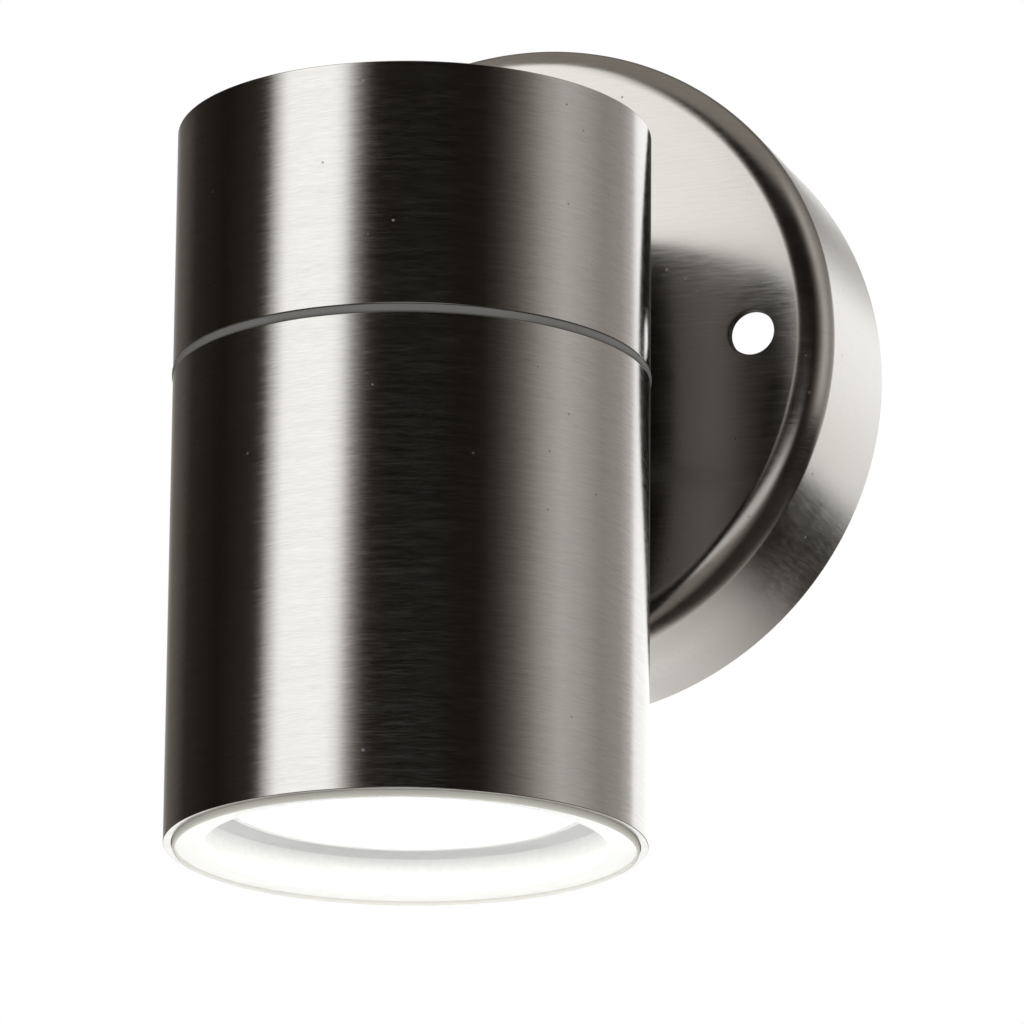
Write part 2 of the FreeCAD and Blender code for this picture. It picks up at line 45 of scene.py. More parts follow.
tubeAxis = Vector((0.0, -0.0625, 0.0))
upAxis = Vector((0.0, 0.0, 1.0))
wallAxis = Vector((0.0, 1.0, 0.0))
frameOrigin = Vector((0.0, 0.0, 0.0))
noiseRange = {"From Min": 0.3, "From Max": 0.7}    # the part of a noise's range that it really fills


def linearColour(hexText, alpha=1.0):
    # sRGB hex to the linear values that the shaders take
    values = [int(hexText[i:i + 2], 16) / 255 for i in (0, 2, 4)]
    return [v / 12.92 if v <= 0.04045 else ((v + 0.055) / 1.055) ** 2.4 for v in values] + [alpha]


def addNode(tree, kind, inputs=None, **settings):
    node = tree.nodes.new(kind)
    for name, value in settings.items():
        setattr(node, name, value)
    for key, value in (inputs or {}).items():
        if isinstance(value, bpy.types.NodeSocket):
            tree.links.new(value, node.inputs[key])
        else:
            node.inputs[key].default_value = value
    return node


def newMaterial(name):
    # An empty material with its output and shader in place
    material = bpy.data.materials.new(name)
    material.use_nodes = True
    tree = material.node_tree
    tree.nodes.clear()
    output = addNode(tree, "ShaderNodeOutputMaterial")
    shader = addNode(tree, "ShaderNodeBsdfPrincipled")
    tree.links.new(shader.outputs["BSDF"], output.inputs["Surface"])
    return material, tree, shader, output


def rampStops(node, stops):
    # stops are (position, grey) or (position, colour)
    ramp = node.color_ramp
    while len(ramp.elements) > 1:
        ramp.elements.remove(ramp.elements[-1])
    for index, (position, value) in enumerate(stops):
        colour = [value, value, value, 1.0] if isinstance(value, (int, float)) else value
        element = ramp.elements[0] if index == 0 else ramp.elements.new(position)
        element.position = position
        element.color = colour


def smoothFaces(mesh, sharp=32.0):
    mesh.shade_smooth()
    mesh.set_sharp_from_angle(angle=math.radians(sharp))


def finishPiece(name, bm, material, body, nodes, sharp=32.0):
    # Turns a bmesh into a piece that stands for its CAD nodes
    mesh = bpy.data.meshes.new(name)
    bm.to_mesh(mesh)
    bm.free()
    piece = bpy.data.objects.new(name, mesh)
    bpy.context.scene.collection.objects.link(piece)
    mesh.materials.append(material)
    smoothFaces(mesh, sharp)
    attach(piece, body)
    if nodes:
        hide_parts(*nodes)
    return piece


def lathe(corners, centre=tubeAxis, axis=upAxis, steps=256, closed=True):
    # Spins an outline of (radius, height) in mm about the axis, with all faces outwards
    bm = bmesh.new()
    side = Vector((1.0, 0.0, 0.0))
    ring = [bm.verts.new(centre + side * (r * mm) + axis * (h * mm)) for r, h in corners]
    pairs = list(zip(ring, ring[1:]))
    if closed:
        pairs.append((ring[-1], ring[0]))
    edges = [bm.edges.new(pair) for pair in pairs]
    bmesh.ops.spin(bm, geom=ring + edges, cent=centre, axis=axis, dvec=(0, 0, 0), angle=math.tau,
                   steps=steps, use_merge=True)
    bmesh.ops.remove_doubles(bm, verts=bm.verts, dist=1e-6)
    bmesh.ops.recalc_face_normals(bm, faces=bm.faces)
    return bm


def roundRings(bm, rings, centre=tubeAxis, axis=upAxis):
    # Rounds the rings given as (radius, height, width, segments), in mm
    for radius, height, width, segments in rings:
        def onRing(vert):
            offset = vert.co - centre
            along = offset.dot(axis)
            return (abs(along - height * mm) < 2e-5
                    and abs((offset - axis * along).length - radius * mm) < 2e-5)
        picked = [edge for edge in bm.edges if all(onRing(vert) for vert in edge.verts)]
        if not picked:
            raise RuntimeError(f"no ring of {radius} at {height}")
        bmesh.ops.bevel(bm, geom=picked, offset=width * mm, offset_type="OFFSET", segments=segments,
                        profile=0.5, affect="EDGES", material=-1)


def steadyNormals(piece):
    # Keeps large flat and round faces from shading into their rounded edges
    weights = piece.modifiers.new("steadyNormals", "WEIGHTED_NORMAL")
    weights.keep_sharp = True
    weights.weight = 100


def cutAway(piece, cutter):
    # Cuts a closed bmesh out of the piece for good
    mesh = bpy.data.meshes.new("cutter")
    cutter.to_mesh(mesh)
    cutter.free()
    tool = bpy.data.objects.new("cutter", mesh)
    bpy.context.scene.collection.objects.link(tool)
    step = piece.modifiers.new("cut", "BOOLEAN")
    step.operation = "DIFFERENCE"
    step.solver = "EXACT"
    step.object = tool
    bpy.context.view_layer.update()
    shown = piece.evaluated_get(bpy.context.evaluated_depsgraph_get())
    cleaned = bpy.data.meshes.new_from_object(shown)
    piece.modifiers.remove(step)
    piece.data = cleaned
    bpy.data.objects.remove(tool)


def boxOf(node):
    # lowest and highest corner of a CAD node, in mm
    low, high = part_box(node)
    return Vector(low) / mm, Vector(high) / mm


steelLook = {
    "tubeColour": "d1cfcb",
    "plateColour": "cecbc5",
    "tintRange": (0.84, 1.08),
    "lineSpacing": 0.13,   # mm between brush lines, drawn coarser than the real 0.05 mm so that they show
    "lineLength": 2.2,     # mm
    "lineDepth": 0.00001,
    "bandScale": 0.2,      # wider bands under the fine lines
    "bandShare": 0.25,
    "cloudScale": 140.0,   # blotches of about 7 mm
    "gritSize": 0.4,       # mm, the mottle of a sheet that was blasted before its light brushing
    "speckSpacing": 4.2,   # mm between the odd nicks that the belt leaves
    "speckDulling": 0.35,
}


def brushedSteel(name, colour, roughness, anisotropy, depth, turn=0.0, cloudy=0.0, mottle=0.0):
    # Stainless sheet brushed with a belt: fine straight lines that draw highlights out across them
    material, tree, shader, _ = newMaterial(name)
    across = 1000.0 / steelLook["lineLength"]
    lines = (across, across, 1000.0 / steelLook["lineSpacing"])
    place = addNode(tree, "ShaderNodeTexCoord").outputs["Object"]
    fine = addNode(tree, "ShaderNodeMapping", {"Vector": place, "Scale": lines, "Rotation": (0, turn, 0)})
    streaks = addNode(tree, "ShaderNodeTexNoise", {
        "Vector": fine.outputs["Vector"], "Scale": 1.0, "Detail": 4.0, "Roughness": 0.6})
    wide = addNode(tree, "ShaderNodeMapping", {
        "Vector": place, "Scale": [v * steelLook["bandScale"] for v in lines], "Rotation": (0, turn, 0)})
    bands = addNode(tree, "ShaderNodeTexNoise", {
        "Vector": wide.outputs["Vector"], "Scale": 1.0, "Detail": 2.0, "Roughness": 0.5})
    both = addNode(tree, "ShaderNodeMix", {
        "Factor": steelLook["bandShare"], "A": streaks.outputs["Fac"], "B": bands.outputs["Fac"]},
        data_type="FLOAT")
    cloud = addNode(tree, "ShaderNodeTexNoise", {
        "Vector": place, "Scale": steelLook["cloudScale"], "Detail": 4.0})
    grit = addNode(tree, "ShaderNodeTexNoise", {
        "Vector": place, "Scale": 1000.0 / steelLook["gritSize"], "Detail": 3.0})
    nicks = addNode(tree, "ShaderNodeTexVoronoi", {
        "Vector": place, "Scale": 1000.0 / steelLook["speckSpacing"]})
    nick = addNode(tree, "ShaderNodeMapRange", {
        "Value": nicks.outputs["Distance"], "From Min": 0.05, "From Max": 0.025})
    uneven = addNode(tree, "ShaderNodeMix", {
        "Factor": cloudy, "A": both.outputs["Result"], "B": cloud.outputs["Fac"]}, data_type="FLOAT")
    spread = addNode(tree, "ShaderNodeMapRange", {
        "Value": uneven.outputs["Result"], **noiseRange, "To Min": roughness[0], "To Max": roughness[1]})
    dull = addNode(tree, "ShaderNodeMath", {
        0: nick.outputs["Result"], 1: steelLook["speckDulling"], 2: spread.outputs["Result"]},
        operation="MULTIPLY_ADD")
    tint = addNode(tree, "ShaderNodeValToRGB", {"Fac": uneven.outputs["Result"]})
    base = linearColour(colour)[:3]
    dark, light = steelLook["tintRange"]
    rampStops(tint, [(0.3, [v * dark for v in base] + [1.0]),
                     (0.7, [min(v * light, 1.0) for v in base] + [1.0])])
    rough = addNode(tree, "ShaderNodeMix", {
        "Factor": mottle, "A": both.outputs["Result"], "B": grit.outputs["Fac"]}, data_type="FLOAT")
    relief = addNode(tree, "ShaderNodeBump", {
        "Height": rough.outputs["Result"], "Strength": depth, "Distance": steelLook["lineDepth"]})
    tangent = addNode(tree, "ShaderNodeTangent", direction_type="RADIAL", axis="Z")
    tree.links.new(tint.outputs["Color"], shader.inputs["Base Color"])
    tree.links.new(dull.outputs[0], shader.inputs["Roughness"])
    tree.links.new(relief.outputs["Normal"], shader.inputs["Normal"])
    tree.links.new(tangent.outputs["Tangent"], shader.inputs["Tangent"])
    shader.inputs["Metallic"].default_value = 1.0
    shader.inputs["Anisotropic"].default_value = anisotropy
    # the lines run round the tube, so highlights are drawn out along it
    shader.inputs["Anisotropic Rotation"].default_value = 0.25
    return material


tubeSteel = brushedSteel("tubeSteel", steelLook["tubeColour"], (0.10, 0.22), 0.75, 0.55)
plateSteel = brushedSteel("plateSteel", steelLook["plateColour"], (0.13, 0.27), 0.55, 0.4,
                          turn=math.radians(8), cloudy=0.35, mottle=0.6)
print("steel ready")


def plainMetal(name, colour, roughness, grain, depth):
    # Small turned, stamped or plated parts: an even sheen with faint uneven marks
    material, tree, shader, _ = newMaterial(name)
    place = addNode(tree, "ShaderNodeTexCoord").outputs["Object"]
    marks = addNode(tree, "ShaderNodeMapping", {"Vector": place, "Scale": [1000.0 / v for v in grain]})
    noise = addNode(tree, "ShaderNodeTexNoise", {
        "Vector": marks.outputs["Vector"], "Scale": 1.0, "Detail": 3.0})
    tint = addNode(tree, "ShaderNodeValToRGB", {"Fac": noise.outputs["Fac"]})
    base = linearColour(colour)
    rampStops(tint, [(0.3, [v * 0.82 for v in base[:3]] + [1.0]), (0.7, base)])
    spread = addNode(tree, "ShaderNodeMapRange", {
        "Value": noise.outputs["Fac"], **noiseRange, "To Min": roughness[0], "To Max": roughness[1]})
    relief = addNode(tree, "ShaderNodeBump", {
        "Height": noise.outputs["Fac"], "Strength": depth, "Distance": 0.00003})
    tree.links.new(tint.outputs["Color"], shader.inputs["Base Color"])
    tree.links.new(spread.outputs["Result"], shader.inputs["Roughness"])
    tree.links.new(relief.outputs["Normal"], shader.inputs["Normal"])
    shader.inputs["Metallic"].default_value = 1.0
    return material


# turned on a lathe, so its marks are fine rings
turnedAluminium = plainMetal("turnedAluminium", "d6d7d9", (0.25, 0.4), (6.0, 6.0, 0.2), 0.4)
# blasted white, so that it scatters the lamp's light
frostedAluminium = plainMetal("frostedAluminium", "ebebea", (0.5, 0.65), (0.6, 0.6, 0.6), 0.4)
# an even satin skin from anodizing
satinAluminium = plainMetal("satinAluminium", "cbccce", (0.35, 0.45), (0.5, 0.5, 0.5), 0.3)
# bright zinc is bluish and a little cloudy
zincSteel = plainMetal("zincSteel", "c3c8d0", (0.25, 0.42), (1.5, 1.5, 1.5), 0.3)
# punched edges are dull; this near-black colour is also painted shade for the inside of the screw holes
shadedCutSteel = plainMetal("shadedCutSteel", "3b3835", (0.5, 0.65), (0.2, 2.0, 0.2), 0.4)
# drawn lengthways, so its marks are long
zincStrap = plainMetal("zincStrap", "b9bec6", (0.28, 0.45), (8.0, 0.4, 2.0), 0.3)
# plated, so it is smooth and slightly warm
nickelBrass = plainMetal("nickelBrass", "d8d2c2", (0.2, 0.28), (3.0, 3.0, 3.0), 0.08)
rolledThread = plainMetal("rolledThread", "c3c8d0", (0.25, 0.4), (0.5, 0.5, 0.5), 0.2)
# drawn tube, with fine lines along it
drawnBrass = plainMetal("drawnBrass", "d9b66a", (0.2, 0.35), (0.3, 0.3, 4.0), 0.2)


def ridgeThread(material, spacing):
    # Thread ridges as a wave along the wall axis, spacing in metres
    tree = material.node_tree
    shader = next(node for node in tree.nodes if node.type == "BSDF_PRINCIPLED")
    place = addNode(tree, "ShaderNodeTexCoord").outputs["Object"]
    wave = addNode(tree, "ShaderNodeTexWave", {"Vector": place, "Scale": math.tau / 20 / spacing},
                   bands_direction="Y")
    relief = addNode(tree, "ShaderNodeBump", {
        "Height": wave.outputs["Fac"], "Strength": 1.0, "Distance": 0.0004})
    tree.links.new(relief.outputs["Normal"], shader.inputs["Normal"])


# far coarser than the real thread of 1 mm
ridgeThread(rolledThread, 0.00628637)


def mouldedSkin(name, colour, roughness, grain, depth, contrast=0.06, subsurface=0.0, paintedGlow=0.0):
    # Plastic, rubber or ceramic: one colour with a fine skin and slight unevenness
    material, tree, shader, _ = newMaterial(name)
    place = addNode(tree, "ShaderNodeTexCoord").outputs["Object"]
    skin = addNode(tree, "ShaderNodeTexNoise", {
        "Vector": place, "Scale": 1000.0 / grain, "Detail": 3.0})
    cloud = addNode(tree, "ShaderNodeTexNoise", {"Vector": place, "Scale": 60.0, "Detail": 2.0})
    tint = addNode(tree, "ShaderNodeValToRGB", {"Fac": cloud.outputs["Fac"]})
    base = linearColour(colour)
    rampStops(tint, [(0.3, [v * (1 - contrast) for v in base[:3]] + [1.0]), (0.7, base)])
    spread = addNode(tree, "ShaderNodeMapRange", {
        "Value": skin.outputs["Fac"], **noiseRange, "To Min": roughness[0], "To Max": roughness[1]})
    relief = addNode(tree, "ShaderNodeBump", {
        "Height": skin.outputs["Fac"], "Strength": depth, "Distance": 0.00005})
    tree.links.new(tint.outputs["Color"], shader.inputs["Base Color"])
    tree.links.new(spread.outputs["Result"], shader.inputs["Roughness"])
    tree.links.new(relief.outputs["Normal"], shader.inputs["Normal"])
    # painted glow: where asked, the surface gives off its own colour, standing for lamp light that passes
    # through it
    shader.inputs["Emission Color"].default_value = base
    shader.inputs["Emission Strength"].default_value = paintedGlow
    shader.inputs["Subsurface Weight"].default_value = subsurface
    shader.inputs["Subsurface Scale"].default_value = 0.001
    return material


# a little sheen from the mould
sealRubber = mouldedSkin("sealRubber", "6f6e6b", (0.4, 0.55), 0.15, 0.3)
# open cells, so it is dull and coarse
foamRubber = mouldedSkin("foamRubber", "242424", (0.85, 0.95), 0.5, 0.9)
# white silicone, with a painted glow that stands for the lamp's light shining through it
whiteSilicone = mouldedSkin("whiteSilicone", "f6f6f4", (0.5, 0.6), 0.2, 0.15, contrast=0.02, paintedGlow=0.36)
# the ground rim of the glass is frosted and pale, with a faint painted glow that stands for the lamp's light
# leaking through it
groundRim = mouldedSkin("groundGlassRim", "cfcdc3", (0.5, 0.6), 0.1, 0.3, contrast=0.1, paintedGlow=0.1)
# unglazed, so it is matt with a faint grain
firedCeramic = mouldedSkin("firedCeramic", "e9e6dd", (0.45, 0.6), 0.25, 0.4)
# injection moulded, so these are smooth with a soft sheen
lampPlastic = mouldedSkin("lampPlastic", "ecebe8", (0.35, 0.45), 0.3, 0.2)
capPlastic = mouldedSkin("capPlastic", "e2e0da", (0.35, 0.5), 0.3, 0.2)
bushPlastic = mouldedSkin("bushPlastic", "1d1d1e", (0.4, 0.5), 0.2, 0.3)
blockPlastic = mouldedSkin("blockPlastic", "e6e3d6", (0.3, 0.4), 0.4, 0.15, subsurface=0.1)


def clearGlass():
    # Clear glass, smeared very faintly; shadow rays pass, so that what lies behind it is lit
    material, tree, shader, output = newMaterial("clearGlass")
    place = addNode(tree, "ShaderNodeTexCoord").outputs["Object"]
    smears = addNode(tree, "ShaderNodeTexNoise", {"Vector": place, "Scale": 90.0, "Detail": 4.0})
    spread = addNode(tree, "ShaderNodeMapRange", {
        "Value": smears.outputs["Fac"], "From Min": 0.45, "From Max": 0.8, "To Min": 0.0, "To Max": 0.05})
    tree.links.new(spread.outputs["Result"], shader.inputs["Roughness"])
    shader.inputs["Base Color"].default_value = linearColour("fdfefd")
    shader.inputs["Transmission Weight"].default_value = 1.0
    shader.inputs["IOR"].default_value = 1.52
    through = addNode(tree, "ShaderNodeBsdfTransparent", {"Color": linearColour("fdfefd")})
    path = addNode(tree, "ShaderNodeLightPath")
    mixed = addNode(tree, "ShaderNodeMixShader", {
        0: path.outputs["Is Shadow Ray"], 1: shader.outputs["BSDF"], 2: through.outputs["BSDF"]})
    tree.links.new(mixed.outputs["Shader"], output.inputs["Surface"])
    return material


def lampDiffuser():
    # Frosted lens of a lit lamp: bright all over, a little less towards its rim
    material, tree, shader, _ = newMaterial("lampDiffuser")
    place = addNode(tree, "ShaderNodeTexCoord").outputs["Object"]
    frost = addNode(tree, "ShaderNodeTexNoise", {"Vector": place, "Scale": 2500.0, "Detail": 2.0})
    relief = addNode(tree, "ShaderNodeBump", {
        "Height": frost.outputs["Fac"], "Strength": 0.2, "Distance": 0.00005})
    # brightest on the tube's axis, and fading out to 1 / reach, about 24.5 mm
    reach = 40.8
    centred = addNode(tree, "ShaderNodeMapping", {
        "Vector": place, "Location": (0, 0.0625 * reach, 0), "Scale": (reach, reach, 0)})
    dome = addNode(tree, "ShaderNodeTexGradient", {"Vector": centred.outputs["Vector"]},
                   gradient_type="SPHERICAL")
    level = addNode(tree, "ShaderNodeMapRange", {
        "Value": dome.outputs["Fac"], "To Min": 2.2, "To Max": 4.0})
    tree.links.new(relief.outputs["Normal"], shader.inputs["Normal"])
    tree.links.new(level.outputs["Result"], shader.inputs["Emission Strength"])
    shader.inputs["Base Color"].default_value = linearColour("f4f2ec")
    shader.inputs["Emission Color"].default_value = linearColour("fffdf8")
    shader.inputs["Roughness"].default_value = 0.35
    return material


glassLook = clearGlass()
diffuserLook = lampDiffuser()
print("materials ready")


tubeSizes = {
    "radius": 30.0,
    "wall": 1.0,
    "endRound": 0.12,
    "endSegments": 4,
}


def makeTubes():
    outer = tubeSizes["radius"]
    inner = outer - tubeSizes["wall"]
    width = tubeSizes["endRound"]
    segments = tubeSizes["endSegments"]
    for name, node, body in (("upperTube", "upper_housing", "root"),
                             ("lowerTube", "sleeve_tube", "sleeve")):
        low, high = boxOf(node)
        bm = lathe([(inner, low.z), (outer, low.z), (outer, high.z), (inner, high.z)])
        roundRings(bm, [(outer, low.z, width, segments), (outer, high.z, width, segments),
                        (inner, low.z, width / 2, 2), (inner, high.z, width / 2, 2)])
        steadyNormals(finishPiece(name, bm, tubeSteel, body, [node]))


makeTubes()

capSizes = {
    "sheet": 1.2,
    "edgeRound": 0.35,
    "innerRound": 1.0,
}


def makeCap():
    low, high = boxOf("top_cap")
    outer = high.x
    inner = outer - capSizes["sheet"]
    under = high.z - capSizes["sheet"]
    bm = lathe([(0, under), (inner, under), (inner, low.z), (outer, low.z), (outer, high.z),
                (0, high.z)], closed=False)
    roundRings(bm, [(outer, high.z, capSizes["edgeRound"], 4), (inner, under, capSizes["innerRound"], 4)])
    steadyNormals(finishPiece("topCap", bm, tubeSteel, "root", ["top_cap"]))


makeCap()

sealSizes = {
    "bore": 27.1,
    "lipRound": 0.35,
}


def makeSeal():
    low, high = boxOf("joint_seal")
    outer = high.x
    bore = sealSizes["bore"]
    lip = sealSizes["lipRound"]
    bm = lathe([(bore, low.z), (outer, low.z), (outer, high.z), (bore, high.z)])
    roundRings(bm, [(outer, low.z, lip, 4), (outer, high.z, lip, 4)])
    steadyNormals(finishPiece("jointSeal", bm, sealRubber, "seal", ["joint_seal"]))


makeSeal()
print("tubes ready")


plateSizes = {
    "radius": 43.0,
    "sheet": 1.2,
    "domeStart": 20.0,     # the face falls away very slightly from here to its edge
    "domeFall": 0.32,
    "shoulder": 4.0,
    "rimRound": 0.3,
    "stemHole": 5.1,
    "screwSpacing": 66.0,
    "screwHole": 3.0,
    "screwDish": 4.0,      # outer radius of the edge that the punch drew in round each screw hole
    "dishDepth": 0.12,
}


def makePlate():
    face = boxOf("wall_plate")[0].y
    inside = face + plateSizes["sheet"]
    outer = plateSizes["radius"]
    inner = outer - plateSizes["sheet"]
    hole = plateSizes["stemHole"]
    shoulder = plateSizes["shoulder"]
    start = plateSizes["domeStart"]
    dome = [(start + share * (outer - start), face + share ** 2 * plateSizes["domeFall"])
            for share in (0, 0.3, 0.5, 0.7, 1)]
    edge = dome[-1][1]
    bm = lathe([(hole, face)] + dome + [(outer, 0), (inner, 0), (inner, inside), (hole, inside)],
               frameOrigin, wallAxis, steps=320)
    roundRings(bm, [(outer, edge, shoulder, 14), (inner, inside, shoulder - plateSizes["sheet"], 8),
                    (outer, 0, plateSizes["rimRound"], 3)], frameOrigin, wallAxis)
    plate = finishPiece("wallPlate", bm, plateSteel, "root", ["wall_plate"])
    narrow = plateSizes["screwHole"]
    wide = plateSizes["screwDish"]
    for side in (-1, 1):
        spot = Vector((side * plateSizes["screwSpacing"] / 2 * mm, 0, 0))
        cutter = lathe([(0, face - 1), (wide, face - 1), (wide, face),
                        (narrow, face + plateSizes["dishDepth"]),
                        (narrow, inside + 1), (0, inside + 1)], spot, wallAxis, steps=64, closed=False)
        cutAway(plate, cutter)
    # the walls of the screw holes, darkened with painted shade
    plate.data.materials.append(shadedCutSteel)
    for polygon in plate.data.polygons:
        centre = polygon.center
        middle = Vector((abs(centre.x) - plateSizes["screwSpacing"] / 2 * mm, 0, centre.z))
        if middle.length < narrow * mm + 1e-5 and abs(polygon.normal.y) < 0.1:
            polygon.material_index = 1
    smoothFaces(plate.data)
    steadyNormals(plate)


makePlate()


foamSizes = {
    "width": 3.0,
    "edgeRound": 0.5,
}


def makeFoam():
    low, high = boxOf("wall_gasket")
    inner = high.x - foamSizes["width"]
    bm = lathe([(inner, low.y), (high.x, low.y), (high.x, high.y), (inner, high.y)], frameOrigin, wallAxis)
    roundRings(bm, [(inner, low.y, foamSizes["edgeRound"], 3)], frameOrigin, wallAxis)
    finishPiece("wallFoam", bm, foamRubber, "root", ["wall_gasket"])


makeFoam()
print("plate ready")


glassSizes = {
    "edgeBevel": 0.35,
    "rimSlope": 0.95,    # faces less level than this belong to the ground rim
    "window": 25.0,
    "bedGap": 0.03,      # keeps the gasket's face clear of the glass's
}


def makeGlass():
    low, high = boxOf("lens")
    edge = high.x
    bevel = glassSizes["edgeBevel"]
    bm = lathe([(0, low.z), (edge, low.z), (edge, high.z), (0, high.z)], closed=False)
    roundRings(bm, [(edge, low.z, bevel, 2), (edge, high.z, bevel, 2)])
    disc = finishPiece("glassDisc", bm, glassLook, "sleeve", ["lens"])
    disc.data.materials.append(groundRim)
    for polygon in disc.data.polygons:
        if abs(polygon.normal.z) < glassSizes["rimSlope"]:
            polygon.material_index = 1
    steadyNormals(disc)
    low, high = boxOf("lens_gasket")
    under = low.z + glassSizes["bedGap"]
    window = glassSizes["window"]
    bm = lathe([(window, under), (high.x, under), (high.x, high.z), (window, high.z)])
    finishPiece("glassGasket", bm, whiteSilicone, "sleeve", ["lens_gasket"])


makeGlass()
print("glass ready")


lampSizes = {
    "faceRound": 0.5,
}


def makeLampFront():
    low, high = boxOf("lamp_front")
    bm = lathe([(0, low.z), (high.x, low.z), (high.x, high.z), (0, high.z)], closed=False)
    roundRings(bm, [(high.x, low.z, lampSizes["faceRound"], 3)])
    steadyNormals(finishPiece("lampFront", bm, diffuserLook, "lamp", ["lamp_front"]))


makeLampFront()
print("lamp ready")


threadSizes = {
    "pitch": 2.0,
    "crest": 0.15,       # half the width of the flat on top of a thread
    "foot": 0.85,        # half the width at its foot
    "depth": 0.6,
    "barrelRadius": 27.0,
    "barrelBore": 22.5,
    "collarBore": 27.08,
    "turnSteps": 96,
    "reliefWidth": 20.0,   # flat that clears the nut of the stem
    "reliefFloor": -9.25,
    "reliefEnd": -30.0,
    "sunk": 0.05,          # how far a ridge's foot reaches into the wall
    "barrelEnds": (0.3, 1.3),    # what stays bare below and above the ridge
    "collarEnds": (0.4, 0.4),
    "barrelRound": 0.4,
    "edgeRound": 0.3,
}


def makeThread(name, body, footRadius, crestRadius, low, high):
    # One ridge that winds round the tube's axis between two heights
    pitch = threadSizes["pitch"]
    foot = threadSizes["foot"]
    crest = threadSizes["crest"]
    turns = (high - low - 2 * foot) / pitch
    steps = int(turns * threadSizes["turnSteps"])
    bm = bmesh.new()
    start = low + foot
    corners = [(footRadius, -foot), (crestRadius, -crest), (crestRadius, crest), (footRadius, foot)]
    ring = [bm.verts.new(tubeAxis + Vector((r * mm, 0, (start + h) * mm))) for r, h in corners]
    edges = [bm.edges.new(pair) for pair in zip(ring, ring[1:] + ring[:1])]
    bmesh.ops.spin(bm, geom=ring + edges, cent=tubeAxis, axis=upAxis,
                   dvec=(0, 0, pitch * turns / steps * mm), angle=math.tau * turns, steps=steps)
    bmesh.ops.holes_fill(bm, edges=[edge for edge in bm.edges if edge.is_boundary], sides=8)
    bmesh.ops.recalc_face_normals(bm, faces=bm.faces)
    finishPiece(name, bm, turnedAluminium, body, [], sharp=40)


def boxCutter(low, high):
    # A closed box between two corners in mm
    bm = bmesh.new()
    bmesh.ops.create_cube(bm, size=1.0)
    size = [(b - a) * mm for a, b in zip(low, high)]
    middle = Vector([(a + b) / 2 * mm for a, b in zip(low, high)])
    bmesh.ops.scale(bm, vec=size, verts=bm.verts)
    bmesh.ops.translate(bm, vec=middle, verts=bm.verts)
    return bm


def makeCarrier():
    low, high = boxOf("carrier_ring")
    seat = boxOf("joint_seal")[1].z
    bore = threadSizes["barrelBore"]
    valley = threadSizes["barrelRadius"] - threadSizes["depth"]
    width = threadSizes["barrelRound"]
    bm = lathe([(bore, low.z), (valley, low.z), (valley, seat), (high.x, seat), (high.x, high.z),
                (bore, high.z)])
    roundRings(bm, [(bore, low.z, width, 2), (valley, low.z, width, 2),
                    (high.x, high.z, threadSizes["edgeRound"], 2), (bore, high.z, width, 2)])
    ring = finishPiece("carrierRing", bm, turnedAluminium, "root", ["carrier_ring"])
    half = threadSizes["reliefWidth"] / 2
    cutAway(ring, boxCutter((-half, tubeAxis.y / mm, threadSizes["reliefFloor"]),
                            (half, threadSizes["reliefEnd"], high.z + 1)))
    smoothFaces(ring.data)
    below, above = threadSizes["barrelEnds"]
    makeThread("barrelThread", "root", valley - threadSizes["sunk"],
               threadSizes["barrelRadius"], low.z + below, seat - above)


def makeCollar():
    low, high = boxOf("sleeve_collar")
    valley = threadSizes["collarBore"] + threadSizes["depth"]
    width = threadSizes["edgeRound"]
    bm = lathe([(valley, low.z), (high.x, low.z), (high.x, high.z), (valley, high.z)])
    roundRings(bm, [(valley, low.z, width, 2), (valley, high.z, width, 2)])
    finishPiece("sleeveCollar", bm, turnedAluminium, "sleeve", ["sleeve_collar"])
    below, above = threadSizes["collarEnds"]
    makeThread("collarThread", "sleeve", valley + threadSizes["sunk"],
               threadSizes["collarBore"], low.z + below, high.z - above)


makeCarrier()
makeCollar()
print("threads ready")

screwSizes = {
    "slotShare": 0.22,    # slot width as a share of the head
    "slotDepth": 0.5,     # and its depth as a share of the head's height
    "slotReach": 1.2,     # the cutter's length beside the head's
    "topShare": 0.86,     # the head is rounded off above this share of its height and outside this one
    "sideShare": 0.72,
    "shankLength": 0.05,
    "shankRound": 0.3,    # more than the shank's length, so its outline turns back inside the head, unseen
}


def makeScrew(name, material, centre, axis, headRadius, headHeight, shankRadius):
    # Cheese-head screw; centre is the seat under its head, in mm, and axis points out of the head
    spot = Vector(centre) * mm
    bm = bmesh.new()
    side = axis.orthogonal().normalized()
    length = screwSizes["shankLength"]
    taper = screwSizes["shankRound"]
    corners = [(0, headHeight), (headRadius * screwSizes["topShare"], headHeight),
               (headRadius, headHeight * screwSizes["sideShare"]), (headRadius, 0), (shankRadius, 0),
               (shankRadius, taper - length), (shankRadius - taper, -length), (0, -length)]
    ring = [bm.verts.new(spot + side * (r * mm) + axis * (h * mm)) for r, h in corners]
    edges = [bm.edges.new(pair) for pair in zip(ring, ring[1:])]
    bmesh.ops.spin(bm, geom=ring + edges, cent=spot, axis=axis, dvec=(0, 0, 0), angle=math.tau, steps=32,
                   use_merge=True)
    bmesh.ops.remove_doubles(bm, verts=bm.verts, dist=1e-6)
    bmesh.ops.recalc_face_normals(bm, faces=bm.faces)
    screw = finishPiece(name, bm, material, "root", [])
    across = headRadius * screwSizes["slotShare"]
    deep = headHeight * screwSizes["slotDepth"]
    reach = headRadius * screwSizes["slotReach"]
    cutter = boxCutter((-reach, -across, 0), (reach, across, headHeight))
    place = Matrix((side, side.cross(axis), axis)).transposed().to_4x4()
    lift = Matrix.Translation(spot + axis * ((headHeight - deep) * mm))
    bmesh.ops.transform(cutter, matrix=lift @ place, verts=cutter.verts)
    bmesh.ops.recalc_face_normals(cutter, faces=cutter.faces)
    cutAway(screw, cutter)
    smoothFaces(screw.data)


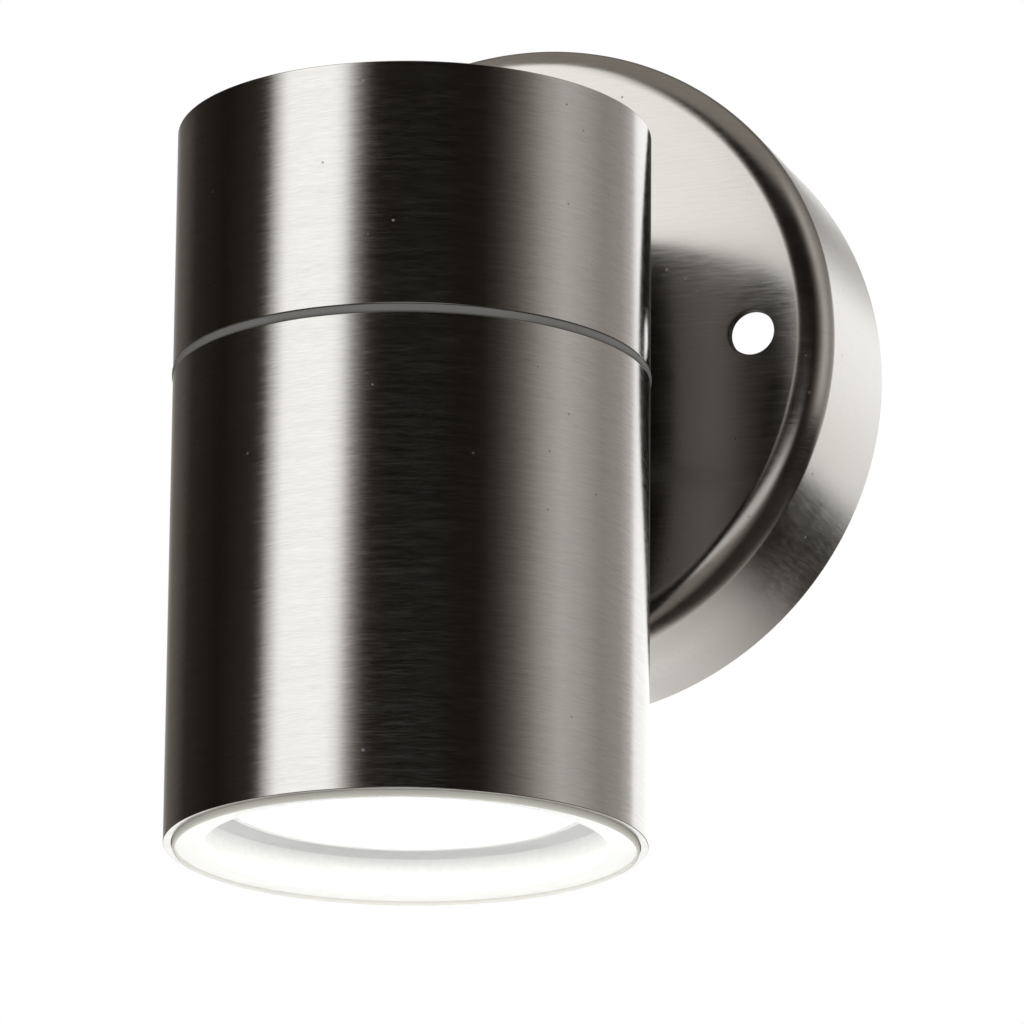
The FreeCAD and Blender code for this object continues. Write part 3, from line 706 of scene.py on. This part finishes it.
def makeNut(name, material, centre, axis, bore):
    # Hexagon nut on a stud; centre is its seat, in mm
    across = blockSizes["nutAcross"]
    height = blockSizes["nutHeight"]
    spot = Vector(centre) * mm
    place = Matrix.Translation(spot) @ axis.to_track_quat("Z", "Y").to_matrix().to_4x4()
    bm = bmesh.new()
    bmesh.ops.create_circle(bm, segments=6, radius=across / math.sqrt(3) * mm, cap_ends=True)
    raised = bmesh.ops.extrude_face_region(bm, geom=list(bm.faces))["geom"]
    lifted = [item for item in raised if isinstance(item, bmesh.types.BMVert)]
    bmesh.ops.translate(bm, vec=(0, 0, height * mm), verts=lifted)
    bmesh.ops.recalc_face_normals(bm, faces=bm.faces)
    bmesh.ops.bevel(bm, geom=list(bm.edges), offset=blockSizes["nutRound"] * mm, offset_type="OFFSET",
                    segments=2, profile=0.5, affect="EDGES", material=-1)
    bmesh.ops.transform(bm, matrix=place, verts=bm.verts)
    nut = finishPiece(name, bm, material, "root", [])
    cutAway(nut, lathe([(0, -1), (bore, -1), (bore, height + 1), (0, height + 1)], spot, axis, steps=32,
                       closed=False))


blockSizes = {
    "poles": (-9.0, 0.0, 9.0),
    "boreCentre": 7.5,     # from the plate's inside
    "tubeOuter": 2.25,
    "tubeInner": 1.5,
    "tubeInset": 1.2,
    "wellSpots": (-5.0, 5.0),
    "wellDepth": 3.6,
    "clampRadius": 1.75,
    "clampHeight": 2.2,
    "earSpot": 17.5,
    "earThickness": 3.0,
    "studRadius": 1.9,
    "studRound": 0.4,
    "studLength": 7.2,
    "nutAcross": 7.0,
    "nutHeight": 3.0,
    "nutRound": 0.2,
    "bite": 0.05,          # the nut's bore is this much tighter than the stud
    "clampLift": 0.1,
    "clampShank": 0.8,     # as a share of the head
}


def makeTerminals():
    low, high = boxOf("terminal_block")
    middle = (low.z + high.z) / 2
    outer = blockSizes["tubeOuter"]
    inner = blockSizes["tubeInner"]
    foot = low.z + blockSizes["tubeInset"]
    head = high.z - blockSizes["tubeInset"]
    clamp = blockSizes["clampRadius"]
    for index, pole in enumerate(blockSizes["poles"]):
        centre = Vector((pole * mm, (low.y + blockSizes["boreCentre"]) * mm, 0))
        bm = lathe([(inner, foot), (outer, foot), (outer, head), (inner, head)], centre, upAxis, steps=48)
        finishPiece(f"brassTube{index}", bm, drawnBrass, "root", [])
        for number, offset in enumerate(blockSizes["wellSpots"]):
            seat = high.y - blockSizes["wellDepth"] + blockSizes["clampLift"]
            spot = (pole, seat, middle + offset)
            makeScrew(f"clampScrew{index}_{number}", nickelBrass, spot, wallAxis,
                      clamp, blockSizes["clampHeight"], clamp * blockSizes["clampShank"])
    radius = blockSizes["studRadius"]
    length = blockSizes["studLength"]
    taper = blockSizes["studRound"]
    for index, side in enumerate((-1, 1)):
        spot = Vector((side * blockSizes["earSpot"] * mm, low.y * mm, middle * mm))
        bm = lathe([(0, 0), (radius, 0), (radius, length - taper), (radius - taper, length), (0, length)],
                   spot, wallAxis, steps=32, closed=False)
        finishPiece(f"earStud{index}", bm, rolledThread, "root", [])
        seat = (side * blockSizes["earSpot"], low.y + blockSizes["earThickness"], middle)
        makeNut(f"earNut{index}", zincSteel, seat, wallAxis, radius - blockSizes["bite"])


makeTerminals()

holderSizes = {
    "crownScrewSpot": 11.2,     # from the axis, across the strap
    "footScrewSpot": 25.3,
    "strap": 1.2,
    "headRadius": 1.9,
    "headHeight": 1.5,
    "shankRadius": 1.0,
    "bushBore": 2.6,
    "bushOuter": 3.45,
    "bushLength": 3.0,
    "bushFlange": 4.6,
    "bushLip": 0.8,
}


def makeHolderScrews():
    crown = boxOf("lampholder_bracket")[1].z
    foot = boxOf("carrier_ring")[1].z + holderSizes["strap"]
    spots = (("crownScrew", holderSizes["crownScrewSpot"], crown),
             ("footScrew", holderSizes["footScrewSpot"], foot))
    for index, side in enumerate((-1, 1)):
        for label, spot, seat in spots:
            centre = (side * spot, tubeAxis.y / mm, seat)
            makeScrew(f"{label}{index}", zincSteel, centre, upAxis,
                      holderSizes["headRadius"], holderSizes["headHeight"], holderSizes["shankRadius"])


def makeBushes():
    # soft bush in each end of the stem, where the wires would rub
    low, high = boxOf("stem")
    bore = holderSizes["bushBore"]
    outer = holderSizes["bushOuter"]
    flange = holderSizes["bushFlange"]
    for index, (end, outwards) in enumerate(((high.y, 1), (low.y, -1))):
        inside = end - holderSizes["bushLength"] * outwards
        lip = end + holderSizes["bushLip"] * outwards
        bm = lathe([(bore, inside), (outer, inside), (outer, end), (flange, end), (flange, lip), (bore, lip)],
                   frameOrigin, wallAxis, steps=64)
        finishPiece(f"stemBush{index}", bm, bushPlastic, "root", [])


makeHolderScrews()
makeBushes()
print("fasteners ready")

carriedOver = {
    "lens_seat": frostedAluminium,
    "neck_spacer": satinAluminium,
    "stem": rolledThread,
    "stem_nuts": nickelBrass,
    "saddle_washer": zincSteel,
    "lampholder_bracket": zincStrap,
    "lampholder": firedCeramic,
    "lamp_base": capPlastic,
    "lamp_pins": nickelBrass,
    "lamp_housing": lampPlastic,
    "terminal_block": blockPlastic,
}
for node, material in carriedOver.items():
    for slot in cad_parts[node].material_slots:
        slot.material = material
print("CAD pieces finished")


studio = {
    "floorLevel": -1.6,
    "floorSize": 12.0,
    "floorColour": "f2f2f1",
    "softLight": 0.9,
    "ceiling": (21.0, 27.0),    # degrees; above this the wall behind is dim
    "zenith": (46.0, 58.0),
    "horizon": (-1.0, -3.5),    # degrees; where the dark band below the horizon begins and is full
    "ground": (-15.0, -21.0),   # the same for the floor
    "nearShade": 0.42,          # share of the room's light in metal that is seen in other metal
}

# What polished metal sees round the object: degrees from the front towards +X, and brightness.
# From the horizon up it is a dark studio, with a strip lamp on the left, a grey screen on the right
# and a white wall behind.
frontTones = [
    (-124, 0.10), (-111, 0.033), (-100, 0.024), (-83, 0.013), (-60, 0.03), (-55, 0.07), (-50, 0.70),
    (-44, 1.45), (-18, 1.46), (-13, 1.10), (-9, 0.45), (-5, 0.17), (-1, 0.038), (4, 0.012), (14, 0.008),
    (42, 0.008), (54, 0.014), (62, 0.044), (70, 0.11), (78, 0.23), (86, 0.42),
]
surroundings = [(-180, 1.3), (-165, 1.25), (-150, 0.35), (-138, 0.16)] + frontTones + [
    (97, 0.60), (108, 0.52), (124, 0.35), (140, 0.40), (152, 0.62), (158, 1.3), (180, 1.3),
]
# Higher up there is no white wall
ceilingTones = [(-180, 0.16), (-150, 0.18)] + frontTones + [
    (97, 0.53), (108, 0.48), (124, 0.34), (140, 0.30), (156, 0.18), (180, 0.16),
]
# and straight up it is an even grey
zenithTones = [(-180, 0.28), (180, 0.28)]
# Just below the horizon it is dark, except behind on the left and a little right of the front
horizonTones = [
    (-180, 0.03), (-174, 0.06), (-168, 1.3), (-146, 1.3), (-134, 0.12), (-110, 0.02), (-60, 0.012),
    (-5, 0.012), (8, 0.80), (32, 0.80), (48, 0.03), (60, 0.010), (110, 0.015), (180, 0.02),
]
# Further down the floor shows
groundTones = [
    (-180, 0.90), (-173, 0.95), (-167, 1.3), (-146, 1.3), (-120, 0.30), (-60, 0.05), (-5, 0.05), (8, 0.22),
    (32, 0.22), (48, 0.10), (60, 0.03), (118, 0.04), (133, 0.08), (151, 0.20), (162, 0.50), (180, 0.90),
]


def roomColour(level):
    # the darker the room, the browner it is
    share = min(level, 1.0) ** 0.35
    return [level, level * (0.78 + 0.22 * share), level * (0.58 + 0.42 * share), 1.0]


def makeWorld():
    world = bpy.data.worlds.new("studio")
    bpy.context.scene.world = world
    world.use_nodes = True
    world.cycles.sampling_method = "NONE"   # so that metal sees only its own surroundings
    tree = world.node_tree
    tree.nodes.clear()
    output = addNode(tree, "ShaderNodeOutputWorld")
    place = addNode(tree, "ShaderNodeTexCoord").outputs["Generated"]
    direction = addNode(tree, "ShaderNodeSeparateXYZ", {0: place})
    forward = addNode(tree, "ShaderNodeMath", {0: direction.outputs["Y"], 1: -1.0}, operation="MULTIPLY")
    azimuth = addNode(tree, "ShaderNodeMath", {0: direction.outputs["X"], 1: forward.outputs[0]},
                      operation="ARCTAN2")
    turn = addNode(tree, "ShaderNodeMapRange", {
        "Value": azimuth.outputs[0], "From Min": -math.pi, "From Max": math.pi})
    brightest = max(level for angle, level in surroundings + ceilingTones)
    panels = None
    zones = ((surroundings, 0, 0), (ceilingTones, *studio["ceiling"]), (zenithTones, *studio["zenith"]),
             (horizonTones, *studio["horizon"]), (groundTones, *studio["ground"]))
    for tones, start, full in zones:
        zone = addNode(tree, "ShaderNodeValToRGB", {"Fac": turn.outputs["Result"]})
        rampStops(zone, [((angle + 180) / 360, [v / brightest for v in roomColour(level)[:3]] + [1.0])
                         for angle, level in tones])
        if panels is None:
            panels = zone.outputs["Color"]
            continue
        reached = addNode(tree, "ShaderNodeMapRange", {
            "Value": direction.outputs["Z"], "From Min": math.sin(math.radians(start)),
            "From Max": math.sin(math.radians(full))}, interpolation_type="SMOOTHSTEP")
        # the colour sockets of the mix node share their names with others, so they go by number
        panels = addNode(tree, "ShaderNodeMix", {
            0: reached.outputs["Result"], 6: panels, 7: zone.outputs["Color"]}, data_type="RGBA").outputs[2]
    path = addNode(tree, "ShaderNodeLightPath")
    level = addNode(tree, "ShaderNodeMapRange", {
        "Value": path.outputs["Glossy Depth"], "From Min": 1.0, "From Max": 2.0,
        "To Min": brightest, "To Max": brightest * studio["nearShade"]})
    shown = addNode(tree, "ShaderNodeBackground", {"Color": panels, "Strength": level.outputs["Result"]})
    plain = addNode(tree, "ShaderNodeBackground", {"Color": (1, 1, 1, 1), "Strength": studio["softLight"]})
    white = addNode(tree, "ShaderNodeBackground", {"Color": (1, 1, 1, 1), "Strength": 1.0})
    glossy = addNode(tree, "ShaderNodeMixShader", {
        0: path.outputs["Is Glossy Ray"], 1: plain.outputs[0], 2: shown.outputs[0]})
    seen = addNode(tree, "ShaderNodeMath", {
        0: path.outputs["Is Camera Ray"], 1: path.outputs["Is Transmission Ray"]}, operation="MAXIMUM")
    final = addNode(tree, "ShaderNodeMixShader", {
        0: seen.outputs[0], 1: glossy.outputs[0], 2: white.outputs[0]})
    tree.links.new(final.outputs[0], output.inputs["Surface"])


def makeFloor():
    bm = bmesh.new()
    bmesh.ops.create_grid(bm, x_segments=1, y_segments=1, size=studio["floorSize"] / 2,
                          matrix=Matrix.Translation((0, 0, studio["floorLevel"])))
    mesh = bpy.data.meshes.new("floor")
    bm.to_mesh(mesh)
    bm.free()
    floor = bpy.data.objects.new("floor", mesh)
    bpy.context.scene.collection.objects.link(floor)
    # steel mirrors the world's own ground tones, not this plane
    floor.visible_glossy = False
    material, _, shader, _ = newMaterial("paleFloor")
    shader.inputs["Base Color"].default_value = linearColour(studio["floorColour"])
    shader.inputs["Roughness"].default_value = 0.9
    mesh.materials.append(material)


view = {
    "azimuth": 19.5,
    "elevation": -16.22,
    "roll": 0.502,
    "distance": 1.01854,
    "target": (-0.008627, 0.0, -0.013477),
    "lens": 268.343,
    "sensor": 36.0,
}


def makeCamera():
    turn = math.radians(view["azimuth"])
    lift = math.radians(view["elevation"])
    outwards = Vector((math.sin(turn) * math.cos(lift), -math.cos(turn) * math.cos(lift), math.sin(lift)))
    right = upAxis.cross(outwards).normalized()
    up = outwards.cross(right)
    roll = math.radians(view["roll"])
    rolledRight = right * math.cos(roll) + up * math.sin(roll)
    rolledUp = outwards.cross(rolledRight)
    axes = Matrix((rolledRight, rolledUp, outwards)).transposed().to_4x4()
    data = bpy.data.cameras.new("camera")
    data.lens = view["lens"]
    data.sensor_width = view["sensor"]
    data.clip_start = 0.01
    camera = bpy.data.objects.new("camera", data)
    camera.matrix_world = Matrix.Translation(Vector(view["target"]) + outwards * view["distance"]) @ axes
    bpy.context.scene.collection.objects.link(camera)
    bpy.context.scene.camera = camera


makeWorld()
makeFloor()
makeCamera()
bpy.context.scene.view_settings.view_transform = "Standard"
print("studio ready")

bpy.context.view_layer.update()
